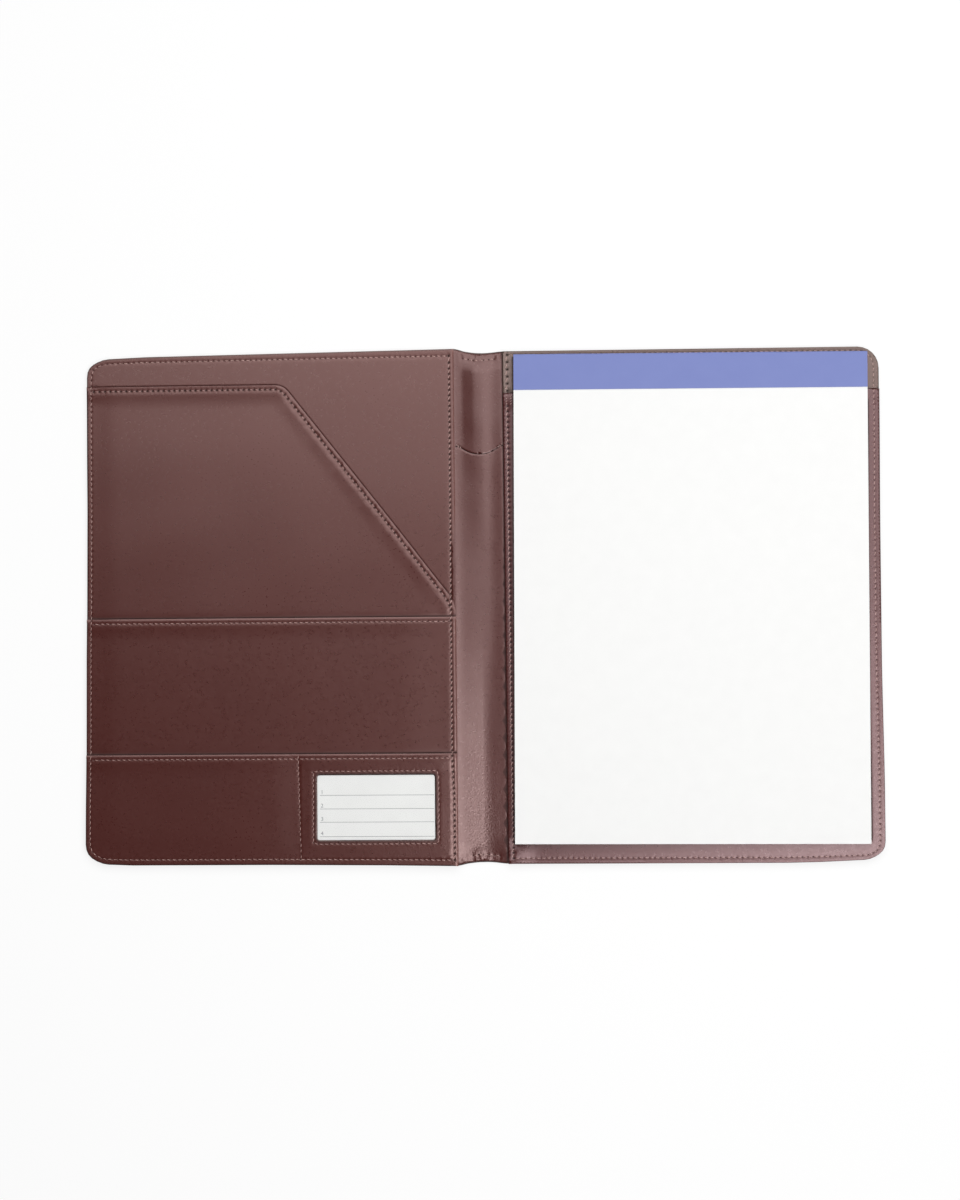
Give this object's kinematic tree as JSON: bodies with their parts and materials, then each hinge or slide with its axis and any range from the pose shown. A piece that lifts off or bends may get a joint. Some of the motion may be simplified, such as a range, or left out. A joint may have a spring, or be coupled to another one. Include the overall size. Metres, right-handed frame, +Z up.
{
  "type": "leather portfolio",
  "caption": "Open leather portfolio with stitched pockets, a windowed card pocket, a soft spine with a pen slit, and a bound writing pad held in a pad pocket.",
  "frame": {"origin": "centre of the open portfolio's footprint, on the surface that it lies on", "axes": "+X along the open portfolio's width, from the front cover to the back cover with the pad; +Y towards the pad's bound top edge; +Z up, from the outer leather to the inside"},
  "size_m": [0.488, 0.314, 0.0116],
  "materials": {
    "cover_leather": "dark burgundy smooth-grain leather, semi-gloss",
    "lining_leather": "burgundy fine-grain bonded leather, satin",
    "cover_board": "grey-brown binder's board",
    "window_film": "clear glossy film",
    "card_paper": "white card with printed rules",
    "backing_card": "plain grey-brown chipboard",
    "writing_paper": "plain white writing paper",
    "band_paper": "blue binding paper, plain",
    "staple_wire": "galvanised wire",
    "sewing_thread": "bonded burgundy thread"
  },
  "bodies": {
    "back_cover": {"back_cover_leather": "cover_leather", "back_board": "cover_board", "back_lining": "lining_leather", "back_edge_thread": "sewing_thread", "pad_pocket": "lining_leather", "pad_pocket_thread": "sewing_thread"},
    "spine": {"spine_leather": "cover_leather", "spine_lining": "lining_leather", "spine_top_thread": "sewing_thread", "spine_bottom_thread": "sewing_thread"},
    "front_cover": {"front_cover_leather": "cover_leather", "front_board": "cover_board", "front_lining": "lining_leather", "front_edge_thread": "sewing_thread", "document_pocket": "lining_leather", "document_pocket_thread": "sewing_thread", "middle_pocket": "lining_leather", "middle_pocket_thread": "sewing_thread", "lower_pocket": "lining_leather", "lower_pocket_thread": "sewing_thread", "divider_thread": "sewing_thread", "window_thread": "sewing_thread", "window_film": "window_film"},
    "id_card": {"id_card": "card_paper"},
    "writing_pad": {"pad_backing": "backing_card", "pad_sheets": "writing_paper", "pad_binding_band": "band_paper", "binding_staple_left": "staple_wire", "binding_staple_right": "staple_wire"},
    "top_sheet": {"top_sheet": "writing_paper"}
  },
  "joints": [
    {"name": "spine_fold", "type": "hinge", "parent": "back_cover", "child": "spine", "pos_m": [0.0135, 0, 0.0009], "axis": [0, 1, 0], "range_deg": [0, 90]},
    {"name": "cover_fold", "type": "hinge", "parent": "spine", "child": "front_cover", "pos_m": [-0.0135, 0, 0.0009], "axis": [0, 1, 0], "range_deg": [0, 90]},
    {"name": "pad_slide", "type": "slide", "parent": "back_cover", "child": "writing_pad", "axis": [0, 1, 0], "range_m": [0, 0.275]},
    {"name": "sheet_turn", "type": "hinge", "parent": "writing_pad", "child": "top_sheet", "pos_m": [0.12845, 0.1313, 0.01165], "axis": [-1, 0, 0], "range_deg": [0, 175]},
    {"name": "card_slide", "type": "slide", "parent": "front_cover", "child": "id_card", "axis": [0, 1, 0], "range_m": [0, 0.064]}
  ]
}
